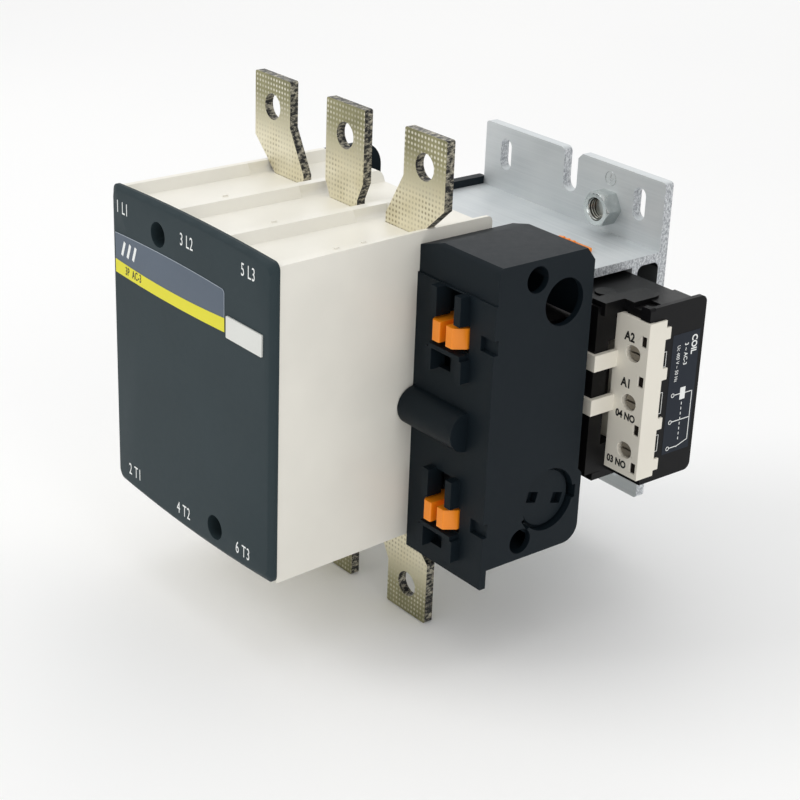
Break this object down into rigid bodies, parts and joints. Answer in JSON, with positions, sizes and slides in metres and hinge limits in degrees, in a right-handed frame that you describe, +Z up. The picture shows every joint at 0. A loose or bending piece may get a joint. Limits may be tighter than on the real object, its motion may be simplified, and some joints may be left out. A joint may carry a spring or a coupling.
{
  "type": "three-pole power contactor",
  "caption": "Power contactor with busbar terminals above and below, a moulded pole block, a side electromagnet and a slide-out coil unit on an aluminium mounting profile.",
  "frame": {"origin": "centre of the mounting plate's rear face", "axes": "+Z up, +Y into the panel that it is screwed to, so the front faces -Y; +X to the right, towards the coil"},
  "size_m": [0.1709, 0.181, 0.197],
  "materials": {
    "aluminium": "extruded, matte natural finish",
    "tinned_terminal": "tin-plated copper with a fine pressed dot pattern",
    "slate_cover": "fine matte moulded plastic, dark slate",
    "label_blue": "printed label, slate blue with a yellow band",
    "marker_white": "plain white marker plate",
    "cream_housing": "smooth moulded plastic, warm cream",
    "dark_moulding": "fine matte moulded plastic, blue-grey black",
    "orange_plastic": "smooth moulded plastic, orange",
    "coil_black": "black moulded plastic, half gloss",
    "coil_cream": "smooth moulded plastic, cream",
    "coil_label": "dark moulded plate with a printed panel",
    "zinc_screw": "bright zinc plate",
    "earth_steel": "zinc plated steel",
    "core_steel": "riveted steel laminations",
    "ring_copper": "bare and enamelled copper",
    "silver_contact": "silver alloy, dull polish",
    "bridge_copper": "copper strip",
    "splitter_steel": "plain steel sheet",
    "chute_board": "pressed insulating board",
    "carrier_plastic": "black moulded plastic",
    "bobbin_plastic": "natural moulded plastic",
    "pad_rubber": "soft black rubber",
    "spring_steel": "bright spring wire"
  },
  "bodies": {
    "frame": {"base_extrusion": "aluminium", "earth_stud": "earth_steel", "earth_nut": "earth_steel", "left_end_plate": "dark_moulding", "pole_base": "dark_moulding", "base_screws": "zinc_screw", "pole_housing": "cream_housing", "line_terminal_1": "tinned_terminal", "line_terminal_2": "tinned_terminal", "line_terminal_3": "tinned_terminal", "load_terminal_1": "tinned_terminal", "load_terminal_2": "tinned_terminal", "load_terminal_3": "tinned_terminal", "terminal_screws": "zinc_screw", "fixed_contact_tips": "silver_contact", "arc_chute_1": "splitter_steel", "arc_chute_2": "splitter_steel", "arc_chute_3": "splitter_steel", "arc_chute_boards": "chute_board", "front_cover": "slate_cover", "cover_screws": "zinc_screw", "front_label": "label_blue", "marker_plate": "marker_white", "magnet_cover": "dark_moulding", "magnet_cover_screws": "zinc_screw", "return_springs": "spring_steel"},
    "armature": {"contact_carrier": "carrier_plastic", "armature_core": "core_steel", "armature_pin": "core_steel", "auxiliary_coupler_upper": "orange_plastic", "auxiliary_coupler_lower": "orange_plastic", "contact_springs": "spring_steel"},
    "contact_bridges": {"contact_bridge_1": "bridge_copper", "contact_bridge_2": "bridge_copper", "contact_bridge_3": "bridge_copper", "moving_contact_tips": "silver_contact"},
    "coil_unit": {"fixed_core": "core_steel", "shading_rings": "ring_copper", "core_pads": "pad_rubber", "coil_bobbin": "bobbin_plastic", "coil_winding": "ring_copper", "coil_housing": "coil_black", "coil_terminal_block": "coil_cream", "coil_terminal_screws": "zinc_screw", "coil_terminal_clamps": "zinc_screw", "coil_label_plate": "coil_label"},
    "locking_cap": {"locking_cap": "dark_moulding"},
    "coil_latch": {"coil_latch": "orange_plastic"}
  },
  "joints": [
    {"name": "armature_travel", "type": "slide", "parent": "frame", "child": "armature", "axis": [0, 1, 0], "range_m": [0, 0.009], "stiffness_N_per_m": 3000, "springref_m": -0.012, "deforming": ["return_springs"]},
    {"name": "contact_overtravel", "type": "slide", "parent": "armature", "child": "contact_bridges", "axis": [0, 1, 0], "range_m": [-0.0016, 0], "deforming": ["contact_springs"]},
    {"name": "coil_withdrawal", "type": "slide", "parent": "frame", "child": "coil_unit", "axis": [1, 0, 0], "range_m": [0, 0.06]},
    {"name": "cap_turn", "type": "hinge", "parent": "frame", "child": "locking_cap", "pos_m": [0.075, -0.0812, -0.036], "axis": [1, 0, 0], "range_deg": [0, 90]},
    {"name": "latch_slide", "type": "slide", "parent": "frame", "child": "coil_latch", "axis": [-1, 0, 0], "range_m": [0, 0.006]}
  ],
  "couplings": [
    {"joint": "contact_overtravel", "follows": "armature_travel", "ratio": -0.1775}
  ]
}
